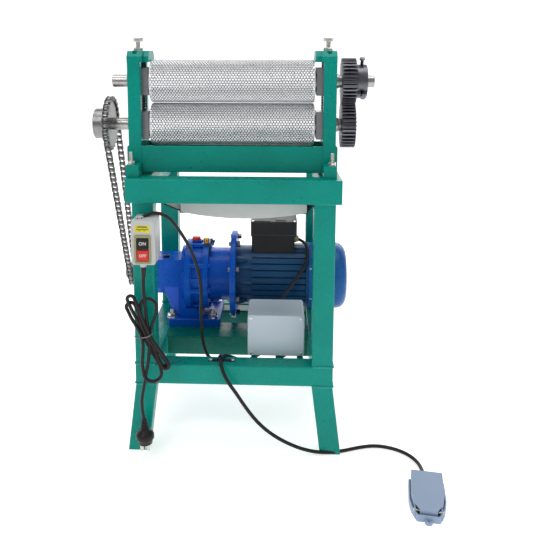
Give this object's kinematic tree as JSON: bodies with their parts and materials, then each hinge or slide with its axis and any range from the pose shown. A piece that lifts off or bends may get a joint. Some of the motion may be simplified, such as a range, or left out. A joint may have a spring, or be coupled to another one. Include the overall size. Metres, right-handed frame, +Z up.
{
  "type": "embossing roller mill",
  "caption": "Motor-driven embossing roller mill on a welded stand: two geared rollers with an adjustable gap, chain drive, drip tray, switch box and foot switch.",
  "frame": {"origin": "floor point under the middle of the footprint of the machine and its foot switch, cords left out", "axes": "+X to the operator's right, along the rollers; +Y away from the operator; +Z up"},
  "size_m": [0.6534, 0.5728, 0.7985],
  "materials": {
    "green_paint": "gloss",
    "bright_steel": "polished",
    "dark_steel": "oiled",
    "zinc": "zinc plated",
    "tray_paint": "satin",
    "hanger_steel": "satin",
    "gearbox_blue": "gloss",
    "motor_navy": "satin",
    "cover_blue": "gloss",
    "black_plastic": "matte",
    "pale_blue_plastic": "satin",
    "grey_plastic": "satin",
    "red_plastic": "gloss",
    "cable_black": "matte"
  },
  "bodies": {
    "stand": {"base_rail_front": "green_paint", "base_rail_left": "green_paint", "base_rail_rear": "green_paint", "base_rail_right": "green_paint", "cable_saddle": "cable_black", "cap_left": "green_paint", "cap_right": "green_paint", "cheek_left": "green_paint", "cheek_right": "green_paint", "control_cable": "cable_black", "drive_chain": "dark_steel", "fan_cover": "cover_blue", "foot_front_left": "green_paint", "foot_front_right": "green_paint", "foot_rear_left": "green_paint", "foot_rear_right": "green_paint", "gap_springs": "zinc", "gearbox": "gearbox_blue", "gearbox_rail_front": "green_paint", "gearbox_rail_rear": "green_paint", "head_plate_front": "green_paint", "head_plate_rear": "green_paint", "holddown_bolts": "zinc", "junction_box": "pale_blue_plastic", "leg_front_left": "green_paint", "leg_front_right": "green_paint", "leg_rear_left": "green_paint", "leg_rear_right": "green_paint", "locknuts": "zinc", "lower_chocks": "dark_steel", "mains_cord": "cable_black", "mains_hank": "cable_black", "mains_plug": "cable_black", "motor_adapter": "gearbox_blue", "motor_body": "motor_navy", "motor_cable": "cable_black", "pedal_base": "pale_blue_plastic", "pedal_cord": "cable_black", "pedal_pin": "zinc", "switch_box": "grey_plastic", "terminal_box": "black_plastic", "top_rail_front": "green_paint", "top_rail_left": "green_paint", "top_rail_rear": "green_paint", "top_rail_right": "green_paint", "tray_hangers": "hanger_steel"},
    "lower_roller": {"lower_roller": "bright_steel", "lower_gear": "dark_steel", "roller_sprocket": "dark_steel"},
    "upper_roller": {"upper_roller": "bright_steel", "upper_gear": "dark_steel", "timing_collar": "dark_steel"},
    "upper_chocks": {"upper_chocks": "dark_steel"},
    "adjuster_left": {"adjuster_left": "zinc"},
    "adjuster_right": {"adjuster_right": "zinc"},
    "drive_sprocket": {"drive_sprocket": "dark_steel"},
    "on_button": {"on_button": "black_plastic"},
    "off_button": {"off_button": "red_plastic"},
    "pedal_treadle": {"pedal_treadle": "pale_blue_plastic"},
    "drip_tray": {"drip_tray": "tray_paint"}
  },
  "joints": [
    {"name": "lower_roller_spin", "type": "hinge", "parent": "stand", "child": "lower_roller", "pos_m": [-0.05969, -0.00556, 0.6345], "axis": [1, 0, 0], "continuous": true, "deforming": ["drive_chain"]},
    {"name": "gap_lift", "type": "slide", "parent": "stand", "child": "upper_chocks", "axis": [0, 0, 1], "range_m": [0, 0.003], "deforming": ["gap_springs"]},
    {"name": "upper_roller_spin", "type": "hinge", "parent": "upper_chocks", "child": "upper_roller", "pos_m": [-0.05969, -0.00556, 0.717], "axis": [1, 0, 0], "continuous": true},
    {"name": "drive_sprocket_spin", "type": "hinge", "parent": "stand", "child": "drive_sprocket", "pos_m": [-0.29669, 0.16186, 0.279], "axis": [1, 0, 0], "continuous": true},
    {"name": "adjuster_left_turn", "type": "hinge", "parent": "upper_chocks", "child": "adjuster_left", "pos_m": [-0.24019, -0.00556, 0.76], "axis": [0, 0, 1], "range_deg": [0, 720]},
    {"name": "adjuster_right_turn", "type": "hinge", "parent": "upper_chocks", "child": "adjuster_right", "pos_m": [0.12081, -0.00556, 0.76], "axis": [0, 0, 1], "range_deg": [0, 720]},
    {"name": "on_button_press", "type": "slide", "parent": "stand", "child": "on_button", "axis": [0, 1, 0], "range_m": [0, 0.002], "stiffness_N_per_m": 400},
    {"name": "off_button_press", "type": "slide", "parent": "stand", "child": "off_button", "axis": [0, 1, 0], "range_m": [0, 0.002], "stiffness_N_per_m": 400},
    {"name": "treadle_press", "type": "hinge", "parent": "stand", "child": "pedal_treadle", "pos_m": [0.28302, -0.26611, 0.0125], "axis": [-0.9877, 0.1564, 0], "range_deg": [0, 5], "stiffness_Nm_per_rad": 6},
    {"name": "tray_slide", "type": "slide", "parent": "stand", "child": "drip_tray", "axis": [0, -1, 0], "range_m": [0, 0.2]}
  ],
  "couplings": [
    {"joint": "upper_roller_spin", "follows": "lower_roller_spin", "ratio": -1},
    {"joint": "drive_sprocket_spin", "follows": "lower_roller_spin", "ratio": 2},
    {"joint": "adjuster_left_turn", "follows": "gap_lift", "rad_per_m": 4188.8},
    {"joint": "adjuster_right_turn", "follows": "gap_lift", "rad_per_m": 4188.8}
  ]
}
